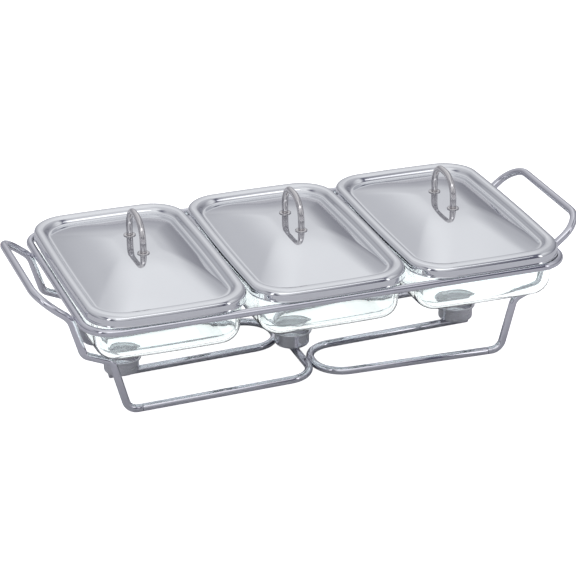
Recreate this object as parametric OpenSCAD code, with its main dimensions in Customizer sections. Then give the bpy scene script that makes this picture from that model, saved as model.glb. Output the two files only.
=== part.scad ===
// Buffet server: a bent wire rack that carries three covered glass dishes over three tea-light cups.
// Millimetres. +Z is up, +X runs along the rack, and the origin is on the table under the rack's centre.

/* [Rack] */
// Diameter of the rack wire
wire_d = 9.8; // [9:0.1:10.5]
// Height of the top rail's centreline above the table
rail_z = 137.6; // [134:0.1:141]
// Half the distance between the front and rear feet
foot_half_y = 98.5; // [96:0.5:102]

/* [Dishes] */
// Distance between neighbouring dishes
dish_pitch = 200; // [200:1:201]
// How far the row of dishes stands to the right of the rail's middle
dish_shift = 1.5; // [-3:0.5:3]
// Half the width of a dish over its rim
dish_half_x = 94.3; // [93.5:0.1:94.5]
// Half the length of a dish over its rim
dish_half_y = 159.5; // [159:0.5:160]
// Thickness of the glass
glass = 4; // [3:0.5:5]

/* [Lids] */
// Height of the dome above the groove around it
dome_rise = 23; // [20:0.5:28]
// Thickness of the lid's sheet
sheet = 0.8; // [0.7:0.1:1]
// Diameter of the lid handle's wire
handle_d = 8; // [7:0.5:9]
// Height of the handle's centreline above the dome
handle_rise = 38.5; // [34:0.5:44]

/* [Burner cups] */
// Outer radius of a cup's wall
cup_r = 21.7; // [21.3:0.1:22.5]
// Height of a cup
cup_h = 20; // [18:1:24]
// Distance of the outer cups from the centre
cup_x = 222; // [218:1:228]

/* [Hidden] */
$fn = 48;

rest_gap = 0.3;             // between a part that lifts off and what it rests on
weld_sink = 0.4;            // how far two wires sink into each other at a weld
straight_thinner = 0.1;     // on the diameter, against a bend's
straight_lap = 0.5;         // how far a straight reaches into a bend
foot_z = wire_d / 2;

// Top rail
rail_half_x = 300.3;
rail_half_y = 160;
rail_corner_r = 36;

// Legs and end handles, as the path of one wire in the X, Z plane of a leg
leg_foot_x = 241;
leg_foot_r = 15;
shoulder_in = [258.5, 71];
shoulder_in_r = 14;
shoulder_out = [292.5, 85.5];
shoulder_out_r = 12;
leg_top = [rail_half_x + wire_d - 2, rail_z - 3.2];   // the bend here touches the rail
leg_top_r = 26;
handle_bar = [345.5, 164.6];
handle_corner_r = 32;
butt_x = leg_foot_x - leg_foot_r - 2;   // where the foot rails meet the legs
feet_shift = -1.5;          // the feet, foot wires and cups stand a little left of the rail's middle

// Foot wires: the rails lean in a little towards the rack's centre
foot_inner_half_y = 89.5;
crossing_r = 34;
hook_x = wire_d - weld_sink;
hook_r = 37;
hook_inner_y = 11.5;
middle_end_y = 1.5;
middle_end_x = cup_x + 16;

// Dishes
rail_top = rail_z + wire_d / 2;
rim_bottom = rail_top + rest_gap;
rim_top = rim_bottom + 13.5;
rim_corner_r = 40;
rim_round = 2.5;
rim_width = 6.5;
rim_blend_h = 14;           // over which the rim's inner side runs into the wall's
dish_bow = 2;
wall_half_x = 91.5;
wall_half_y = 152;
wall_corner_r = 30;
wall_slope = 3;
dish_bottom = 90;
dish_bottom_r = 22;

// Lids
groove_half_x = 79;
groove_half_y = 139.3;
groove_corner_r = 32;
groove_bow = 2.2;
groove_z = rim_top - 5.6;   // the groove drops inside the dish's rim
flange_stretch = 1.35;      // the flange is that much wider at the front and rear
flange_swell = 0.05;        // and its sides bow out more towards its edge
dome_top = groove_z + dome_rise;
dome_flat = 0.26;           // share of the dome that is flat under the handle
dome_power = 1.7;
dome_rings = 8;
skirt_out = 17.3;
skirt_drop = 7.2;

// Lid handle and its fixings
post_y = 30;
arch_r = 25;
stud_d = 5;
stud_hole_d = 5.4;
stud_length = 9;
washer_d = 15;
washer_h = 1.2;
nut_flats = 8;
nut_h = 4;
nut_bore_d = 5.1;
nut_cap_r = 3.6;

// Burner cups
cup_sheet = 0.8;
cup_bottom = 2 * foot_z - weld_sink / 4;
cup_lip_r = 25;
cup_lip_h = 4;
cup_round = 2.7;

// Faceted outlines
arc_steps = 6;
side_steps = 5;

chrome = [0.78, 0.78, 0.81];
steel = [0.72, 0.73, 0.74];
glass_tint = [0.75, 0.88, 0.86, 0.5];

// ---- Bent wire ----

function unit(v) = v / norm(v);

function after(path, i) = path[(i + 1) % len(path)];

function before(path, i) = path[(i + len(path) - 1) % len(path)];

// The angle that the path turns through at corner i.
function turn(path, i) =
    acos(unit(path[i] - before(path, i)) * unit(after(path, i) - path[i]));

// The length that a bend takes from the straights on each side of corner i.
function bend_length(path, radii, i) =
    radii[i] == 0 ? 0 : radii[i] * tan(turn(path, i) / 2);

// Places children with their axes along ex, ey and ez at the point p.
module place(ex, ey, ez, p) {
    multmatrix([
        [ex.x, ey.x, ez.x, p.x],
        [ex.y, ey.y, ez.y, p.y],
        [ex.z, ey.z, ez.z, p.z],
    ]) children();
}

module straight(a, b, d) {
    ez = unit(b - a);
    side = abs(ez.z) < 0.9 ? [0, 0, 1] : [0, 1, 0];
    ex = unit(cross(side, ez));
    place(ex, cross(ez, ex), ez, a) cylinder(d = d, h = norm(b - a));
}

module bend(corner, from, to, r, d) {
    u = unit(corner - from);
    v = unit(to - corner);
    angle = acos(u * v);
    start = corner - u * r * tan(angle / 2);
    inward = unit(v - u * (u * v));
    place(-inward, u, cross(u, inward), start + inward * r)
        rotate_extrude(angle = angle) translate([r, 0]) circle(d = d);
}

// A round wire along a path of corners. Each corner is bent to its radius; radius 0 marks an open end.
// The straights are a hair thinner than the bends and reach a little way into them.
module wire(path, radii, d) {
    for (i = [0:len(path) - 1]) {
        next = (i + 1) % len(path);
        along = unit(path[next] - path[i]);
        start = bend_length(path, radii, i) - (radii[i] > 0 ? straight_lap : 0);
        end = bend_length(path, radii, next) - (radii[next] > 0 ? straight_lap : 0);
        if (next > 0 || radii[i] > 0)
            straight(path[i] + along * start, path[next] - along * end, d - straight_thinner);
        if (radii[i] > 0)
            bend(path[i], before(path, i), after(path, i), radii[i], d);
    }
}

// ---- Pressed outlines ----

// A rectangle with round corners whose sides bow outwards, as a ring of points at height z.
function ring(half_x, half_y, r, bow, z) =
    let (centres = [[1, 1], [-1, 1], [-1, -1], [1, -1]],
         arcs = [for (q = [0:3]) [for (i = [0:arc_steps])
             [centres[q].x * (half_x - r) + r * cos(90 * (q + i / arc_steps)),
              centres[q].y * (half_y - r) + r * sin(90 * (q + i / arc_steps))]]],
         outline = [for (q = [0:3]) each concat(arcs[q],
             [for (j = [1:side_steps - 1])
                 arcs[q][arc_steps] + (arcs[(q + 1) % 4][0] - arcs[q][arc_steps]) * j / side_steps])])
    [for (p = outline)
        [p.x * (1 + bow / half_x * (1 - pow(p.y / half_y, 2))),
         p.y * (1 + bow / half_y * (1 - pow(p.x / half_x, 2))), z]];

// A closed solid through rings that run from the bottom's middle, round the edge, to the top's middle.
module skin(rings) {
    n = len(rings[0]);
    last = len(rings) - 1;
    sides = [for (k = [0:last - 1], i = [0:n - 1]) each
        let (a = k * n + i, b = k * n + (i + 1) % n)
        [[a, a + n, b + n], [a, b + n, b]]];
    bottom = [for (i = [0:n - 1]) i];
    top = [for (i = [n - 1:-1:0]) last * n + i];
    polyhedron(points = [for (r = rings) each r], faces = concat([bottom], sides, [top]));
}

// ---- Rack ----

module top_rail() {
    corners = [
        [rail_half_x, -rail_half_y, rail_z], [rail_half_x, rail_half_y, rail_z],
        [-rail_half_x, rail_half_y, rail_z], [-rail_half_x, -rail_half_y, rail_z],
    ];
    color(chrome) wire(corners, [for (c = corners) rail_corner_r], wire_d);
}

function leg(y, shift) = [
    [butt_x + shift, y, foot_z],
    [leg_foot_x + shift, y, foot_z],
    [shoulder_in.x + shift, y, shoulder_in.y],
    [shoulder_out.x + shift, y, shoulder_out.y],
    [leg_top.x, y, leg_top.y],
    [handle_bar.x, y, handle_bar.y],
];

function reversed(list) = [for (i = [len(list) - 1:-1:0]) list[i]];

// Two legs and the handle between them, bent from one wire.
module leg_handle(shift) {
    corners = concat(leg(-foot_half_y, shift), reversed(leg(foot_half_y, shift)));
    radii = [0, leg_foot_r, shoulder_in_r, shoulder_out_r, leg_top_r, handle_corner_r];
    color(chrome) wire(corners, concat(radii, reversed(radii)), wire_d);
}

module right_leg_handle() {
    leg_handle(feet_shift);
}

module left_leg_handle() {
    rotate(180) leg_handle(-feet_shift);
}

// The long wire: front rail on the left, straight back under the centre cup, rear rail on the right.
module crossing_foot_wire() {
    path = [
        [-butt_x, -foot_half_y, foot_z], [0, -foot_inner_half_y, foot_z],
        [0, foot_inner_half_y, foot_z], [butt_x, foot_half_y, foot_z],
    ];
    color(chrome) translate([feet_shift, 0, 0]) wire(path, [0, crossing_r, crossing_r, 0], wire_d);
}

// A hook: outer rail, round the end beside the long wire, and back under an outer cup.
module foot_hook() {
    path = [
        [butt_x, -foot_half_y, foot_z], [hook_x, -foot_inner_half_y, foot_z],
        [hook_x, -hook_inner_y, foot_z], [middle_end_x, -middle_end_y, foot_z],
    ];
    color(chrome) wire(path, [0, hook_r, hook_r, 0], wire_d);
}

module right_foot_wire() {
    translate([feet_shift, 0, 0]) foot_hook();
}

module left_foot_wire() {
    translate([feet_shift, 0, 0]) rotate(180) foot_hook();
}

// A pressed cup with a flared lip that holds one tea light.
module burner_cup(x) {
    inner_r = cup_r - cup_sheet;
    lip_z = cup_h - cup_lip_h;
    color(steel) translate([x, 0, cup_bottom]) rotate_extrude() polygon([
        [0, 0],
        [cup_r - cup_round, 0],
        [cup_r, cup_round],
        [cup_r, lip_z],
        [cup_lip_r, lip_z + 1.5],
        [cup_lip_r, cup_h],
        [cup_lip_r - cup_sheet, cup_h],
        [cup_lip_r - cup_sheet, lip_z + 2.1],
        [inner_r, lip_z + 0.6],
        [inner_r, cup_round],
        [cup_r - cup_round, cup_sheet],
        [0, cup_sheet],
    ]);
}

module left_burner_cup() {
    burner_cup(feet_shift - cup_x);
}

module centre_burner_cup() {
    burner_cup(feet_shift);
}

module right_burner_cup() {
    burner_cup(feet_shift + cup_x);
}

// ---- Dishes ----

// One outline of the rim, moved in from its outer edge.
function rim_ring(inset, z) =
    ring(dish_half_x - inset, dish_half_y - inset, rim_corner_r - inset, dish_bow, z);

// One outline of the wall, moved in from its outer face at the top.
function wall_ring(inset, z) =
    ring(wall_half_x - inset, wall_half_y - inset, max(wall_corner_r - inset, dish_bottom_r / 2), dish_bow, z);

// The rounded edge between floor and wall, from the floor outwards.
function floor_edge(inset, floor_z, r) = [
    for (i = [0:5]) wall_ring(inset + r * (1 - sin(18 * i)), floor_z + r * (1 - cos(18 * i)))
];

module dish(x) {
    inner_floor = dish_bottom + glass + 0.5;
    outer = floor_edge(wall_slope, dish_bottom, dish_bottom_r);
    inner = floor_edge(wall_slope + glass, inner_floor, dish_bottom_r - glass);
    rim = [
        wall_ring(0, rim_bottom),
        rim_ring(rim_round / 2, rim_bottom),
        rim_ring(0, rim_bottom + rim_round),
        rim_ring(0, rim_top - rim_round),
        rim_ring(rim_round / 2, rim_top - rim_round / 3),
        rim_ring(rim_round, rim_top),
        rim_ring(rim_width, rim_top),
        wall_ring(glass, rim_top - rim_blend_h),
    ];
    color(glass_tint) translate([x, 0, 0]) skin(concat(outer, rim, reversed(inner)));
}

module left_dish() {
    dish(dish_shift - dish_pitch);
}

module centre_dish() {
    dish(dish_shift);
}

module right_dish() {
    dish(dish_shift + dish_pitch);
}

// ---- Lids ----

// One outline of the dome: share 1 is the groove, smaller shares lie further up.
function dome_ring(share, z_base) =
    let (climb = max(0, (share - dome_flat) / (1 - dome_flat)),
         half_x = share * groove_half_x,
         corner = half_x * (groove_corner_r / groove_half_x + 0.6 * (1 - share)))
    ring(half_x, share * groove_half_y, corner, share * groove_bow,
         z_base + dome_rise * (1 - pow(climb, dome_power)));

function dome(z_base) = [
    for (i = [0:dome_rings]) dome_ring(dome_flat + (1 - dome_flat) * i / dome_rings, z_base)
];

// One outline of the flange, moved out from the groove.
function flange_ring(out, dz) =
    ring(groove_half_x + out, groove_half_y + flange_stretch * out, groove_corner_r + out / 2,
         groove_bow + flange_swell * out, groove_z + dz);

module lid(x) {
    under = [
        flange_ring(1.7, -sheet),
        flange_ring(3.7, 0.7),
        flange_ring(5, 3.2),
        flange_ring(6.5, 5.1),
        flange_ring(9.1, 6.2),
        flange_ring(12.5, 6.1),
        flange_ring(14.6, 5),
        flange_ring(16, 2.8),
        flange_ring(skirt_out - sheet, 0),
        flange_ring(skirt_out - sheet, -skirt_drop),
    ];
    over = [
        flange_ring(skirt_out, -skirt_drop),
        flange_ring(skirt_out, 0),
        flange_ring(16.7, 3.1),
        flange_ring(15.2, 5.6),
        flange_ring(12.8, 6.9),
        flange_ring(9, 7),
        flange_ring(6, 5.8),
        flange_ring(4.3, 3.6),
        flange_ring(3, 1.2),
        flange_ring(1.5, 0),
    ];
    color(steel) difference() {
        translate([x, 0, 0]) skin(concat(dome(groove_z - sheet), under, over, reversed(dome(groove_z))));
        for (y = [-post_y, post_y])
            translate([x, y, dome_top - 5 * sheet]) cylinder(d = stud_hole_d, h = 10 * sheet);
    }
}

module left_lid() {
    lid(dish_shift - dish_pitch);
}

module centre_lid() {
    lid(dish_shift);
}

module right_lid() {
    lid(dish_shift + dish_pitch);
}

// A wire arch with a thin stud below each post.
module lid_handle(x) {
    base_z = dome_top + washer_h;
    arch_z = dome_top + handle_rise;
    color(chrome) {
        wire([[x, -post_y, base_z], [x, -post_y, arch_z], [x, post_y, arch_z], [x, post_y, base_z]],
             [0, arch_r, arch_r, 0], handle_d);
        for (y = [-post_y, post_y])
            translate([x, y, base_z - stud_length]) cylinder(d = stud_d, h = stud_length);
    }
}

module left_lid_handle() {
    lid_handle(dish_shift - dish_pitch);
}

module centre_lid_handle() {
    lid_handle(dish_shift);
}

module right_lid_handle() {
    lid_handle(dish_shift + dish_pitch);
}

module lid_washers(x) {
    color(chrome) for (y = [-post_y, post_y])
        translate([x, y, dome_top]) difference() {
            cylinder(d = washer_d, h = washer_h);
            translate([0, 0, -1]) cylinder(d = stud_hole_d, h = washer_h + 2);
        }
}

module left_lid_washers() {
    lid_washers(dish_shift - dish_pitch);
}

module centre_lid_washers() {
    lid_washers(dish_shift);
}

module right_lid_washers() {
    lid_washers(dish_shift + dish_pitch);
}

// Cap nuts on the studs, under the dome.
module lid_nuts(x) {
    stud_end = dome_top + washer_h - stud_length;
    nut_top = dome_top - sheet;
    color(steel) for (y = [-post_y, post_y])
        translate([x, y, 0]) difference() {
            union() {
                translate([0, 0, nut_top - nut_h]) cylinder(d = nut_flats / cos(30), h = nut_h, $fn = 6);
                translate([0, 0, nut_top - nut_h - 1.5]) cylinder(r = nut_cap_r, h = 1.5);
                translate([0, 0, nut_top - nut_h - 1.5]) sphere(r = nut_cap_r);
            }
            translate([0, 0, stud_end - 0.4]) cylinder(d = nut_bore_d, h = stud_length);
        }
}

module left_lid_nuts() {
    lid_nuts(dish_shift - dish_pitch);
}

module centre_lid_nuts() {
    lid_nuts(dish_shift);
}

module right_lid_nuts() {
    lid_nuts(dish_shift + dish_pitch);
}

top_rail();
left_leg_handle();
right_leg_handle();
crossing_foot_wire();
left_foot_wire();
right_foot_wire();
left_burner_cup();
centre_burner_cup();
right_burner_cup();
left_dish();
centre_dish();
right_dish();
left_lid();
centre_lid();
right_lid();
left_lid_handle();
centre_lid_handle();
right_lid_handle();
left_lid_washers();
centre_lid_washers();
right_lid_washers();
left_lid_nuts();
centre_lid_nuts();
right_lid_nuts();
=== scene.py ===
import math

import bpy
from mathutils import Matrix, Vector


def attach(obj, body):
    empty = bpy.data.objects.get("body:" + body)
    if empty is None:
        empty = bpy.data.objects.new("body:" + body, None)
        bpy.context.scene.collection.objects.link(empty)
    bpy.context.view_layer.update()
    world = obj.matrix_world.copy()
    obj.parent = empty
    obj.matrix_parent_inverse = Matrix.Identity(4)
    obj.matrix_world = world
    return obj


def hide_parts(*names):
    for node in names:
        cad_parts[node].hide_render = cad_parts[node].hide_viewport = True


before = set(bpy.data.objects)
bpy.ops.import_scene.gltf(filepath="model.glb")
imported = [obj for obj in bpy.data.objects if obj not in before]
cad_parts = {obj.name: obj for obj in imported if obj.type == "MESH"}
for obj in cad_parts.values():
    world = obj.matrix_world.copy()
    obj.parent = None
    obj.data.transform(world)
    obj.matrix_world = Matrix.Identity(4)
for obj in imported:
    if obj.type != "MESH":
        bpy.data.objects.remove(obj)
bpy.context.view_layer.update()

MM = 0.001
SIDES = {"left": -1, "centre": 0, "right": 1}

# ---- Sizes of the object, in millimetres, as in the CAD ----

WIRE_D = 9.8
STRAIGHT_THINNER = 0.1
FOOT_Z = WIRE_D / 2
WELD_SINK = 0.4
RAIL_Z = 137.6
RAIL_HALF = (300.3, 160.0)
RAIL_CORNER_R = 36.0
FEET_SHIFT = -1.5
FOOT_HALF_Y = 98.5
FOOT_INNER_HALF_Y = 89.5
LEG_FOOT_X = 241.0
LEG_FOOT_R = 15.0
BUTT_X = LEG_FOOT_X - LEG_FOOT_R - 2
SHOULDER_IN = (258.5, 71.0)
SHOULDER_IN_R = 14.0
SHOULDER_OUT = (292.5, 85.5)
SHOULDER_OUT_R = 12.0
LEG_TOP = (RAIL_HALF[0] + WIRE_D - 2.0, RAIL_Z - 3.2)
LEG_TOP_R = 26.0
HANDLE_BAR = (345.5, 164.6)
HANDLE_CORNER_R = 32.0
HOOK_X = WIRE_D - WELD_SINK
HOOK_R = 37.0
HOOK_INNER_Y = 11.5
CROSSING_R = 34.0
CUP_X = 222.0
CUP_R = 21.7
CUP_H = 20.0
CUP_BOTTOM = WIRE_D - 0.1
MIDDLE_END = (CUP_X + 16, -1.5)
DISH_PITCH = 200.0
DISH_SHIFT = 1.5
DISH_HALF = (94.3, 159.5)
RIM_CORNER_R = 40.0
DISH_BOW = 2.0
WALL_HALF = (91.5, 152.0)
WALL_CORNER_R = 30.0
WALL_SLOPE = 3.0
DISH_BOTTOM = 90.0
DISH_BOTTOM_R = 22.0
GLASS = 4.0
RIM_BOTTOM = RAIL_Z + WIRE_D / 2 + 0.3
RIM_TOP = RIM_BOTTOM + 13.5
SHEET = 0.8
GROOVE_HALF = (79.0, 139.3)
GROOVE_R = 32.0
GROOVE_BOW = 2.2
GROOVE_Z = RIM_TOP - 5.6
FLANGE_STRETCH = 1.35
FLANGE_SWELL = 0.05
DOME_RISE = 23.0
DOME_TOP = GROOVE_Z + DOME_RISE
DOME_FLAT = 0.26
DOME_POWER = 1.7
SKIRT_OUT = 17.2
SKIRT_DROP = 7.2
POST_Y = 30.0
HANDLE_D = 8.0
HANDLE_RISE = 38.5
ARCH_R = 25.0
WASHER_H = 1.2
WASHER_R = 7.5


# ---- Materials ----

def material(name):
    """A new node material with a Principled shader, and a function that adds nodes to it."""
    mat = bpy.data.materials.new(name)
    mat.use_nodes = True
    nodes = mat.node_tree.nodes
    shader = nodes["Principled BSDF"]
    return mat, shader, nodes, mat.node_tree.links


def position(nodes, links, scale):
    """The object's own coordinates in metres, stretched by scale, so that a grain has a real size."""
    coords = nodes.new("ShaderNodeTexCoord")
    mapping = nodes.new("ShaderNodeMapping")
    mapping.inputs["Scale"].default_value = scale
    links.new(coords.outputs["Object"], mapping.inputs["Vector"])
    return mapping.outputs["Vector"]


def noise(nodes, links, vector, scale, detail=3.0, roughness=0.5):
    texture = nodes.new("ShaderNodeTexNoise")
    texture.inputs["Scale"].default_value = scale
    texture.inputs["Detail"].default_value = detail
    texture.inputs["Roughness"].default_value = roughness
    links.new(vector, texture.inputs["Vector"])
    return texture.outputs["Fac"]


def spread(nodes, links, value, low, high):
    """Maps a noise's usual range onto low to high."""
    node = nodes.new("ShaderNodeMapRange")
    node.inputs["From Min"].default_value = 0.3
    node.inputs["From Max"].default_value = 0.7
    node.inputs["To Min"].default_value = low
    node.inputs["To Max"].default_value = high
    links.new(value, node.inputs["Value"])
    return node.outputs["Result"]


def tint(nodes, links, factor, dark, light):
    node = nodes.new("ShaderNodeMix")
    node.data_type = "RGBA"
    node.inputs["A"].default_value = (*dark, 1)
    node.inputs["B"].default_value = (*light, 1)
    links.new(factor, node.inputs["Factor"])
    return node.outputs["Result"]


def bump(nodes, links, height, shader, strength, distance):
    node = nodes.new("ShaderNodeBump")
    node.inputs["Strength"].default_value = strength
    node.inputs["Distance"].default_value = distance
    links.new(height, node.inputs["Height"])
    links.new(node.outputs["Normal"], shader.inputs["Normal"])


def metal(name, dark, light, rough, grain_scale, grain_size, bump_strength):
    """Metal with cloudy wear in colour and roughness, and a fine grain stretched along grain_scale."""
    mat, shader, nodes, links = material(name)
    shader.inputs["Metallic"].default_value = 1.0
    clouds = noise(nodes, links, position(nodes, links, (1, 1, 1)), 14.0, 4.0)
    grain = noise(nodes, links, position(nodes, links, grain_scale), grain_size, 2.0)
    links.new(tint(nodes, links, clouds, dark, light), shader.inputs["Base Color"])
    mixed = nodes.new("ShaderNodeMix")
    mixed.inputs["Factor"].default_value = 0.5
    links.new(clouds, mixed.inputs["A"])
    links.new(grain, mixed.inputs["B"])
    links.new(spread(nodes, links, mixed.outputs["Result"], *rough), shader.inputs["Roughness"])
    bump(nodes, links, grain, shader, bump_strength, 0.0001)
    return mat


def glass(name):
    """Clear pressed glass with a faint green tint and the slow waves of a moulded surface."""
    mat, shader, nodes, links = material(name)
    shader.inputs["Transmission Weight"].default_value = 1.0
    shader.inputs["IOR"].default_value = 1.47
    waves = noise(nodes, links, position(nodes, links, (1, 1, 1)), 22.0, 2.0)
    colour = tint(nodes, links, waves, (0.90, 0.945, 0.935), (0.945, 0.972, 0.965))
    links.new(colour, shader.inputs["Base Color"])
    links.new(spread(nodes, links, waves, 0.0, 0.02), shader.inputs["Roughness"])
    bump(nodes, links, waves, shader, 0.12, 0.001)
    return mat


def floor_material():
    """White paper. Metal mirrors it as a grey floor, so that chrome keeps its outline against it."""
    mat, shader, nodes, links = material("floor_paper")
    fibres = noise(nodes, links, position(nodes, links, (1, 1, 1)), 60.0, 4.0)
    links.new(tint(nodes, links, fibres, (0.88, 0.88, 0.88), (0.90, 0.90, 0.90)), shader.inputs["Base Color"])
    shader.inputs["Roughness"].default_value = 0.9
    shader.inputs["Specular IOR Level"].default_value = 0.0
    shader.inputs["Emission Color"].default_value = (1, 1, 1, 1)
    shader.inputs["Emission Strength"].default_value = 1.0
    mirrored = nodes.new("ShaderNodeBsdfDiffuse")
    mirrored.inputs["Color"].default_value = (0.76, 0.755, 0.78, 1)
    path = nodes.new("ShaderNodeLightPath")
    reflected = nodes.new("ShaderNodeMath")
    reflected.operation = "SUBTRACT"
    reflected.use_clamp = True
    links.new(path.outputs["Is Glossy Ray"], reflected.inputs[0])
    links.new(path.outputs["Is Transmission Ray"], reflected.inputs[1])
    mix = nodes.new("ShaderNodeMixShader")
    links.new(reflected.outputs["Value"], mix.inputs["Fac"])
    links.new(shader.outputs["BSDF"], mix.inputs[1])
    links.new(mirrored.outputs["BSDF"], mix.inputs[2])
    links.new(mix.outputs["Shader"], nodes["Material Output"].inputs["Surface"])
    return mat


CHROME = metal("rack_chrome", (0.59, 0.59, 0.64), (0.68, 0.68, 0.73),
               rough=(0.06, 0.11), grain_scale=(1, 1, 1), grain_size=60.0, bump_strength=0.012)
HANDLE_STEEL = metal("handle_steel", (0.60, 0.585, 0.59), (0.69, 0.675, 0.68),
                     rough=(0.06, 0.11), grain_scale=(1, 1, 1), grain_size=80.0, bump_strength=0.012)
LID_STEEL = metal("lid_steel", (0.725, 0.735, 0.76), (0.775, 0.785, 0.81),
                  rough=(0.05, 0.09), grain_scale=(1, 1, 1), grain_size=60.0, bump_strength=0.01)
CUP_STEEL = metal("cup_steel", (0.72, 0.715, 0.75), (0.82, 0.815, 0.85),
                  rough=(0.18, 0.30), grain_scale=(1, 1, 12), grain_size=90.0, bump_strength=0.05)
NUT_STEEL = metal("nut_steel", (0.60, 0.60, 0.62), (0.70, 0.70, 0.72),
                  rough=(0.15, 0.30), grain_scale=(1, 1, 1), grain_size=500.0, bump_strength=0.05)
DISH_GLASS = glass("dish_glass")


# ---- Mesh building ----

def add_mesh(name, points, faces, mat):
    """A smooth-shaded mesh from points in millimetres."""
    mesh = bpy.data.meshes.new(name)
    mesh.from_pydata([[c * MM for c in p] for p in points], [], faces)
    mesh.materials.append(mat)
    mesh.validate()
    mesh.update()
    for polygon in mesh.polygons:
        polygon.use_smooth = True
    piece = bpy.data.objects.new(name, mesh)
    bpy.context.scene.collection.objects.link(piece)
    return piece


def loft(rings, closed=False):
    """Faces through equal rings of points. Closed joins the last ring to the first, or else both are capped."""
    n = len(rings[0])
    points = [p for ring in rings for p in ring]
    faces = []
    last = len(rings) if closed else len(rings) - 1
    for k in range(last):
        a = k * n
        b = (k + 1) % len(rings) * n
        faces += [(a + i, a + (i + 1) % n, b + (i + 1) % n, b + i) for i in range(n)]
    if not closed:
        faces.append(tuple(reversed(range(n))))
        faces.append(tuple((len(rings) - 1) * n + i for i in range(n)))
    return points, faces


def rounded_path(corners, radii, closed=False, steps=10):
    """Points along a path whose corners are rounded, as (point, whether it lies inside a bend)."""
    path = []
    count = len(corners)
    for i, corner in enumerate(corners):
        corner = Vector(corner)
        if radii[i] == 0:
            path.append((corner, False))
            continue
        back = (Vector(corners[i - 1]) - corner).normalized()
        ahead = (Vector(corners[(i + 1) % count]) - corner).normalized()
        half = back.angle(ahead) / 2
        centre = corner + (back + ahead).normalized() * (radii[i] / math.sin(half))
        start = corner + back * (radii[i] / math.tan(half)) - centre
        end = corner + ahead * (radii[i] / math.tan(half)) - centre
        turned = start.angle(end)
        for k in range(steps + 1):
            t = k / steps
            arm = (start * math.sin((1 - t) * turned) + end * math.sin(t * turned)) / math.sin(turned)
            path.append((centre + arm, True))
    return path


def tube(name, corners, radii, diameter, mat, closed=False, sides=28):
    """A round wire along a path, with softly rounded cut ends."""
    path = rounded_path(corners, radii, closed)
    spots = [p for p, _ in path]
    sizes = [diameter / 2 if bent else (diameter - STRAIGHT_THINNER) / 2 for _, bent in path]
    if not closed:
        first = (spots[1] - spots[0]).normalized()
        final = (spots[-1] - spots[-2]).normalized()
        edge = diameter * 0.08
        spots = [spots[0], spots[0] + first * edge * 0.3, spots[0] + first * edge] + spots[1:-1] + [
            spots[-1] - final * edge, spots[-1] - final * edge * 0.3, spots[-1]]
        r = sizes[0]
        sizes = [r - edge, r - edge * 0.3, r] + sizes[1:-1] + [r, r - edge * 0.3, r - edge]
    count = len(spots)
    rings = []
    normal = None
    for i, spot in enumerate(spots):
        ahead = spots[(i + 1) % count] if closed or i < count - 1 else spot
        behind = spots[i - 1] if closed or i > 0 else spot
        along = (ahead - behind).normalized()
        if normal is None:
            normal = along.orthogonal().normalized()
        normal = (normal - along * normal.dot(along)).normalized()
        across = along.cross(normal)
        rings.append([spot + (normal * math.cos(a) + across * math.sin(a)) * sizes[i]
                      for a in (2 * math.pi * k / sides for k in range(sides))])
    points, faces = loft(rings, closed)
    return add_mesh(name, points, faces, mat)


def lathe(profile, centre, sides=96):
    """Rings of a profile of (radius, z) turned about a vertical axis."""
    return [[(centre[0] + r * math.cos(a), centre[1] + r * math.sin(a), centre[2] + z)
             for a in (2 * math.pi * k / sides for k in range(sides))] for r, z in profile]


def smooth_curve(knots, steps):
    """Points of a Catmull-Rom curve through knots."""
    out = []
    for i in range(len(knots) - 1):
        p0 = knots[max(i - 1, 0)]
        p1 = knots[i]
        p2 = knots[i + 1]
        p3 = knots[min(i + 2, len(knots) - 1)]
        for k in range(steps):
            t = k / steps
            out.append(tuple(0.5 * (2 * b + (c - a) * t + (2 * a - 5 * b + 4 * c - d) * t * t
                                    + (3 * b - a - 3 * c + d) * t ** 3)
                             for a, b, c, d in zip(p0, p1, p2, p3)))
    out.append(tuple(knots[-1]))
    return out


def outline(half_x, half_y, r, bow, x, z, arc_steps=12, side_steps=14):
    """A rectangle with round corners and bowed sides, centred on x, at height z."""
    arcs = []
    for q, (sx, sy) in enumerate(((1, 1), (-1, 1), (-1, -1), (1, -1))):
        arcs.append([(sx * (half_x - r) + r * math.cos(math.pi / 2 * (q + i / arc_steps)),
                      sy * (half_y - r) + r * math.sin(math.pi / 2 * (q + i / arc_steps)))
                     for i in range(arc_steps + 1)])
    flat = []
    for q in range(4):
        flat += arcs[q]
        a = arcs[q][-1]
        b = arcs[(q + 1) % 4][0]
        flat += [(a[0] + (b[0] - a[0]) * j / side_steps, a[1] + (b[1] - a[1]) * j / side_steps)
                 for j in range(1, side_steps)]
    return [(x + px * (1 + bow / half_x * (1 - (py / half_y) ** 2)),
             py * (1 + bow / half_y * (1 - (px / half_x) ** 2)), z) for px, py in flat]


# ---- Rack ----

def leg_corners(y, shift):
    """The corners of half a leg wire, from the foot rail up to the handle's bar; shift moves the foot."""
    return [
        (BUTT_X + shift, y, FOOT_Z),
        (LEG_FOOT_X + shift, y, FOOT_Z),
        (SHOULDER_IN[0] + shift, y, SHOULDER_IN[1]),
        (SHOULDER_OUT[0] + shift, y, SHOULDER_OUT[1]),
        (LEG_TOP[0], y, LEG_TOP[1]),
        (HANDLE_BAR[0], y, HANDLE_BAR[1]),
    ]


def turned(corners, sign):
    """The corners as they are, or turned half way round the vertical axis."""
    return [(sign * x, sign * y, z) for x, y, z in corners]


def on_feet(corners):
    """The corners moved to where the feet stand."""
    return [(x + FEET_SHIFT, y, z) for x, y, z in corners]


def on_rack(piece, *nodes, slot="rack_wire"):
    """Fixes a piece on the rack, in place of the CAD nodes named."""
    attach(piece, "rack")
    if nodes:
        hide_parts(*nodes)
    return piece


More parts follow.
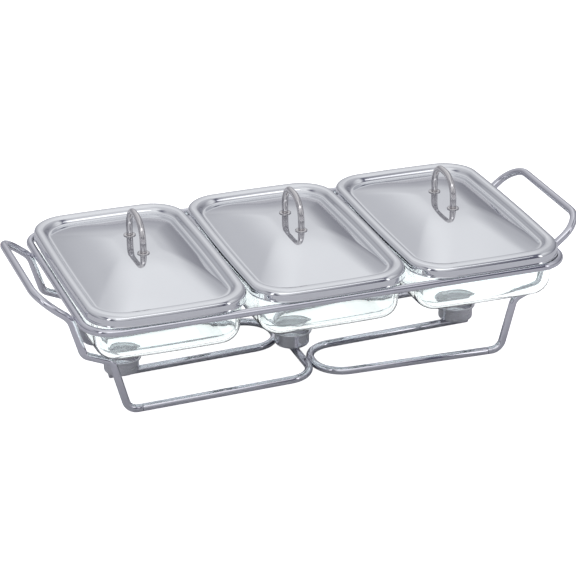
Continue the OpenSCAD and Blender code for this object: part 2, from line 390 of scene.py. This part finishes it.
def weld_bead(name, centre, size, seed):
    """A small lump of weld metal: an uneven rounded blob."""
    rings = []
    for i in range(1, 12):
        lat = math.pi * i / 12 - math.pi / 2
        ring = []
        for k in range(20):
            lon = 2 * math.pi * k / 20
            swell = 1 + 0.08 * math.sin(3 * lon + seed) + 0.05 * math.sin(5 * lat + 2 * seed)
            ring.append((centre[0] + size[0] * swell * math.cos(lat) * math.cos(lon),
                         centre[1] + size[1] * swell * math.cos(lat) * math.sin(lon),
                         centre[2] + size[2] * swell * math.sin(lat)))
        rings.append(ring)
    points, faces = loft(rings)
    return on_rack(add_mesh(name, points, faces, CHROME))


def make_rack():
    """The top rail, the legs with the end handles, the foot wires, and the welds of the legs to the rail."""
    x, y = RAIL_HALF
    rail_corners = [(sx * x, sy * y, RAIL_Z) for sx, sy in ((1, -1), (1, 1), (-1, 1), (-1, -1))]
    rail = tube("rail_wire", rail_corners, [RAIL_CORNER_R] * 4, WIRE_D, CHROME, closed=True)
    on_rack(rail, "top_rail")
    leg_radii = [0, LEG_FOOT_R, SHOULDER_IN_R, SHOULDER_OUT_R, LEG_TOP_R, HANDLE_CORNER_R]
    hook = [
        (BUTT_X, -FOOT_HALF_Y, FOOT_Z),
        (HOOK_X, -FOOT_INNER_HALF_Y, FOOT_Z),
        (HOOK_X, -HOOK_INNER_Y, FOOT_Z),
        (*MIDDLE_END, FOOT_Z),
    ]
    for side, sign in (("left", -1), ("right", 1)):
        shift = sign * FEET_SHIFT
        corners = leg_corners(-FOOT_HALF_Y, shift) + leg_corners(FOOT_HALF_Y, shift)[::-1]
        radii = leg_radii + leg_radii[::-1]
        legs = tube(side + "_legs_and_handle", turned(corners, sign), radii, WIRE_D, CHROME)
        on_rack(legs, side + "_leg_handle")
        foot = tube(side + "_foot_hook", on_feet(turned(hook, sign)), [0, HOOK_R, HOOK_R, 0], WIRE_D, CHROME)
        on_rack(foot, side + "_foot_wire")
        for n, y_weld in enumerate((-FOOT_HALF_Y, FOOT_HALF_Y)):
            weld_bead(f"{side}_rail_weld_{n}", (sign * (x + WIRE_D / 2 - 0.2), y_weld, RAIL_Z - 2),
                      (2.2, 4.0, 3.2), n + sign)
    crossing = [
        (-BUTT_X, -FOOT_HALF_Y, FOOT_Z),
        (0, -FOOT_INNER_HALF_Y, FOOT_Z),
        (0, FOOT_INNER_HALF_Y, FOOT_Z),
        (BUTT_X, FOOT_HALF_Y, FOOT_Z),
    ]
    middle = tube("crossing_foot", on_feet(crossing), [0, CROSSING_R, CROSSING_R, 0], WIRE_D, CHROME)
    on_rack(middle, "crossing_foot_wire")


def make_cup(side, sign):
    """A pressed cup: round lower edge, straight wall, and a lip that steps out and is rolled at the top."""
    lip_z = CUP_H - 4
    outer = [(1, 0), (14, 0), (CUP_R - 3.2, 0.05), (CUP_R - 1.2, 0.8), (CUP_R, 2.9), (CUP_R, 8),
             (CUP_R, lip_z - 1), (CUP_R + 0.9, lip_z), (24.4, lip_z + 0.7), (24.9, lip_z + 1.7),
             (25.0, CUP_H - 0.7)]
    inner = [(24.3, CUP_H - 0.7), (24.2, lip_z + 2.2), (23.6, lip_z + 1.5), (CUP_R + 0.2, lip_z + 0.9),
             (CUP_R - 0.8, lip_z - 0.2), (CUP_R - 0.8, 8), (CUP_R - 0.8, 3.2), (CUP_R - 2.2, 1.5),
             (CUP_R - 4.0, 0.85), (14, 0.8), (1, 0.8)]
    rim = [(24.95, CUP_H - 0.2), (24.65, CUP_H), (24.4, CUP_H - 0.2)]
    profile = smooth_curve(outer, 4) + rim + smooth_curve(inner, 4)
    points, faces = loft(lathe(profile, (FEET_SHIFT + sign * CUP_X, 0, CUP_BOTTOM)))
    cup = add_mesh(side + "_cup", points, faces, CUP_STEEL)
    on_rack(cup, side + "_burner_cup", slot="cup_steel")


# ---- Dishes ----

def rim_outline(inset, x, z):
    """One outline of a dish's rim, moved in from its outer edge."""
    return outline(DISH_HALF[0] - inset, DISH_HALF[1] - inset, RIM_CORNER_R - inset, DISH_BOW, x, z)


def wall_outline(inset, x, z):
    """One outline of a dish's wall, moved in from its outer face at the top."""
    corner = max(WALL_CORNER_R - inset, DISH_BOTTOM_R / 2)
    return outline(WALL_HALF[0] - inset, WALL_HALF[1] - inset, corner, DISH_BOW, x, z)


def floor_edge(inset, floor_z, r, x, steps=10):
    """The rounded edge between a dish's floor and its wall, from the floor outwards."""
    return [wall_outline(inset + r * (1 - math.sin(a)), x, floor_z + r * (1 - math.cos(a)))
            for a in (math.pi / 2 * i / steps for i in range(steps + 1))]


def make_dish(side, sign):
    """A glass dish with an even wall, a thick round rim and a large round edge at the bottom."""
    x = DISH_SHIFT + sign * DISH_PITCH
    outer = floor_edge(WALL_SLOPE, DISH_BOTTOM, DISH_BOTTOM_R, x)
    inner = floor_edge(WALL_SLOPE + GLASS, DISH_BOTTOM + GLASS + 0.5, DISH_BOTTOM_R - GLASS, x)
    under = [wall_outline(0.5, x, RIM_BOTTOM - 4.0), wall_outline(0.1, x, RIM_BOTTOM - 0.9),
             wall_outline(-0.4, x, RIM_BOTTOM - 0.1)]
    knots = [(1.8, 0.1), (0.7, 0.9), (0.1, 3.2), (0.1, 9.8), (0.8, 12.2), (2.6, 13.4), (5.4, 13.4), (6.8, 12.3),
             (7.0, 10.0)]
    rim = [rim_outline(inset, x, RIM_BOTTOM + dz) for inset, dz in smooth_curve(knots, 3)]
    throat = [wall_outline(GLASS, x, RIM_BOTTOM), wall_outline(GLASS + 0.3, x, RIM_BOTTOM - 4.0)]
    points, faces = loft(outer + under + rim + throat + inner[::-1])
    dish = add_mesh(side + "_glass_dish", points, faces, DISH_GLASS)
    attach(dish, side + "_dish_body")
    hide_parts(side + "_dish")


# ---- Lids ----

def dome_outline(share, x, drop):
    """One outline of the dome: share 1 is the groove, smaller shares lie further up."""
    climb = max(0.0, (share - DOME_FLAT) / (1 - DOME_FLAT))
    half_x = share * GROOVE_HALF[0]
    corner = half_x * (GROOVE_R / GROOVE_HALF[0] + 0.6 * (1 - share))
    height = GROOVE_Z - drop + DOME_RISE * (1 - climb ** DOME_POWER)
    return outline(half_x, share * GROOVE_HALF[1], corner, share * GROOVE_BOW, x, height)


def dome(x, drop):
    """The dome from its middle to just inside the groove, which rounds its foot."""
    shares = [0.02, 0.1, 0.2, DOME_FLAT]
    shares += [DOME_FLAT + (0.985 - DOME_FLAT) * i / 26 for i in range(1, 27)]
    return [dome_outline(share, x, drop) for share in shares]


def flange(x, knots):
    """Outlines of the flange through (distance out, height) knots, counted from the groove."""
    rings = []
    for out, dz in smooth_curve(knots, 4):
        half_x = GROOVE_HALF[0] + out
        half_y = GROOVE_HALF[1] + FLANGE_STRETCH * out
        rings.append(outline(half_x, half_y, GROOVE_R + out / 2, GROOVE_BOW + FLANGE_SWELL * out, x,
                             GROOVE_Z + dz))
    return rings


def make_lid(side, sign):
    """A pressed lid: dome, groove, broad round flange, and a skirt with a hemmed edge.

    The flange's profile is given as (distance out from the groove, height above it).
    """
    x = DISH_SHIFT + sign * DISH_PITCH
    t = SHEET
    over = [(-0.2, 0.15), (0.7, 0.0), (1.7, 0.05), (2.7, 0.7), (3.5, 1.9), (4.3, 3.5), (5.4, 5.1), (7.0, 6.3),
            (9.0, 6.9), (11.2, 6.95), (12.9, 6.7), (14.4, 6.0), (15.6, 4.8), (16.4, 3.1), (16.8, 1.2),
            (16.8, -0.8), (16.8, -3.2), (16.75, -5.0), (17.0, -6.0)]
    lowest = 0.02 - SKIRT_DROP
    hem = [(SKIRT_OUT, -6.4), (SKIRT_OUT, -6.8), (17.0, lowest), (16.6, lowest), (16.3, -6.8)]
    under = [(16.05, -6.0), (15.95, -4.8), (16.0, -2.6), (16.0, -0.6), (15.9, 1.0), (15.5, 2.7), (14.8, 4.1),
             (13.7, 5.2), (12.4, 5.9), (11.0, 6.15), (9.0, 6.1), (7.3, 5.6), (6.1, 4.6), (5.1, 3.1),
             (4.2, 1.3), (3.2, 0.0), (2.2, -0.7), (1.0, -t), (-0.2, 0.1 - t)]
    rings = dome(x, 0) + flange(x, over) + flange(x, hem) + flange(x, under) + dome(x, t)[::-1]
    points, faces = loft(rings)
    lid = add_mesh(side + "_lid_shell", points, faces, LID_STEEL)
    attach(lid, side + "_lid_body")
    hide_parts(side + "_lid")


def make_lid_handle(side, sign):
    """The wire arch of a lid, and the washer at the foot of each post."""
    x = DISH_SHIFT + sign * DISH_PITCH
    base = DOME_TOP + WASHER_H * 0.5
    top = DOME_TOP + HANDLE_RISE
    posts = [(x, -POST_Y, base), (x, -POST_Y, top), (x, POST_Y, top), (x, POST_Y, base)]
    arch = tube(side + "_lid_arch", posts, [0, ARCH_R, ARCH_R, 0], HANDLE_D, HANDLE_STEEL)
    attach(arch, side + "_lid_body")
    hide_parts(side + "_lid_handle")
    profile = [(3.4, 0.05), (WASHER_R - 0.5, 0.0), (WASHER_R, 0.35), (WASHER_R, 0.8),
               (WASHER_R - 0.5, WASHER_H), (HANDLE_D / 2 + 0.6, WASHER_H), (HANDLE_D / 2 - 0.1, WASHER_H - 0.1)]
    points = []
    faces = []
    for y in (-POST_Y, POST_Y):
        ring_points, ring_faces = loft(lathe(profile, (x, y, DOME_TOP), 64), closed=True)
        faces += [tuple(i + len(points) for i in face) for face in ring_faces]
        points += ring_points
    washers = add_mesh(side + "_lid_rings", points, faces, HANDLE_STEEL)
    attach(washers, side + "_lid_body")
    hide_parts(side + "_lid_washers")


make_rack()
for side_name, side_sign in SIDES.items():
    make_cup(side_name, side_sign)
    make_dish(side_name, side_sign)
    make_lid(side_name, side_sign)
    make_lid_handle(side_name, side_sign)
    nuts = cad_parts[side_name + "_lid_nuts"]
    nuts.data.materials.clear()
    nuts.data.materials.append(NUT_STEEL)


# ---- Stage, light and camera ----

def make_floor():
    """A wide pale floor, as a fine grid of faces."""
    reach = 14.0
    steps = 8
    points = [(reach * (2 * i / steps - 1) / MM, reach * (2 * j / steps - 1) / MM, 0)
              for j in range(steps + 1) for i in range(steps + 1)]
    row = steps + 1
    faces = [(j * row + i, j * row + i + 1, (j + 1) * row + i + 1, (j + 1) * row + i)
             for j in range(steps) for i in range(steps)]
    floor = add_mesh("floor", points, faces, floor_material())


def ramp_of(nodes, links, value, stops):
    """A colour ramp through (position, grey) stops, with a slightly blue grey in the dark parts."""
    ramp = nodes.new("ShaderNodeValToRGB")
    ramp.color_ramp.interpolation = "EASE"
    elements = ramp.color_ramp.elements
    while len(elements) < len(stops):
        elements.new(0.5)
    for element, (spot, grey) in zip(elements, stops):
        element.position = spot
        element.color = (grey * 0.985, grey * 0.99, grey + 0.06 * (1 - grey), 1)
    links.new(value, ramp.inputs["Fac"])
    return ramp.outputs["Color"]


def world_mix(nodes, links, blend, factor, a, b):
    node = nodes.new("ShaderNodeMix")
    node.data_type = "RGBA"
    node.blend_type = blend
    node.clamp_factor = True
    if factor is None:
        node.inputs["Factor"].default_value = 1.0
    else:
        links.new(factor, node.inputs["Factor"])
    links.new(a, node.inputs["A"])
    links.new(b, node.inputs["B"])
    return node.outputs["Result"]


def make_world():
    """A studio that is bright overhead, grey at the horizon, and has dark screens to the sides."""
    world = bpy.data.worlds.new("studio")
    world.use_nodes = True
    bpy.context.scene.world = world
    nodes = world.node_tree.nodes
    links = world.node_tree.links
    coords = nodes.new("ShaderNodeTexCoord")
    split = nodes.new("ShaderNodeSeparateXYZ")
    links.new(coords.outputs["Generated"], split.inputs["Vector"])
    across = nodes.new("ShaderNodeMapRange")
    across.inputs["From Min"].default_value = -1.0
    links.new(split.outputs["X"], across.inputs["Value"])
    behind = nodes.new("ShaderNodeMapRange")
    behind.inputs["From Min"].default_value = -0.15
    behind.inputs["From Max"].default_value = 0.15
    links.new(split.outputs["Y"], behind.inputs["Value"])
    height = ramp_of(nodes, links, split.outputs["Z"],
                     [(0.0, 0.44), (0.10, 0.52), (0.30, 0.72), (0.45, 0.88), (0.70, 1.0), (0.95, 1.0)])
    back = ramp_of(nodes, links, across.outputs["Result"],
                   [(0.0, 0.60), (0.42, 0.74), (0.60, 1.0), (0.68, 0.95), (0.76, 0.62), (0.90, 0.50)])
    front = ramp_of(nodes, links, across.outputs["Result"],
                    [(0.0, 0.9), (0.14, 0.20), (0.26, 1.0), (0.60, 0.80), (0.74, 0.16), (0.84, 0.9),
                     (1.0, 0.7)])
    sides = world_mix(nodes, links, "MIX", behind.outputs["Result"], front, back)
    light = world_mix(nodes, links, "MULTIPLY", None, height, sides)
    links.new(light, nodes["Background"].inputs["Color"])
    nodes["Background"].inputs["Strength"].default_value = 1.0


def area_light(name, place, aim, size, power):
    light = bpy.data.lights.new(name, "AREA")
    light.shape = "RECTANGLE"
    light.size, light.size_y = size
    light.energy = power
    lamp = bpy.data.objects.new(name, light)
    lamp.location = place
    lamp.rotation_euler = (Vector(aim) - Vector(place)).to_track_quat("-Z", "Y").to_euler()
    bpy.context.scene.collection.objects.link(lamp)


def make_camera():
    """The solved camera: 19 degrees round from the front and 24 degrees down, with a slight roll."""
    yaw = math.radians(19.023)
    pitch = math.radians(24.184)
    roll = math.radians(-0.627)
    forward = Vector((math.sin(yaw) * math.cos(pitch), math.cos(yaw) * math.cos(pitch), -math.sin(pitch)))
    level = Vector((math.cos(yaw), -math.sin(yaw), 0))
    upright = level.cross(forward)
    right = level * math.cos(roll) + upright * math.sin(roll)
    up = upright * math.cos(roll) - level * math.sin(roll)
    camera_data = bpy.data.cameras.new("camera")
    camera_data.sensor_width = 36.0
    camera_data.lens = 150.0
    camera_data.clip_end = 100.0
    camera = bpy.data.objects.new("camera", camera_data)
    camera.matrix_world = Matrix((
        (right.x, up.x, -forward.x, -0.8933),
        (right.y, up.y, -forward.y, -2.5734),
        (right.z, up.z, -forward.z, 1.3076),
        (0, 0, 0, 1),
    ))
    bpy.context.scene.collection.objects.link(camera)
    bpy.context.scene.camera = camera


make_floor()
make_world()
area_light("front_strip", (0.0, -2.4, 2.8), (0, 0, 0.1), (4.0, 0.8), 9.0)
area_light("left_strip", (-2.8, -1.8, 1.4), (0, 0, 0.1), (0.5, 2.0), 4.5)
area_light("right_strip", (2.2, -2.4, 1.2), (0, 0, 0.1), (0.4, 1.6), 3.0)
make_camera()
bpy.context.scene.view_settings.view_transform = "Standard"
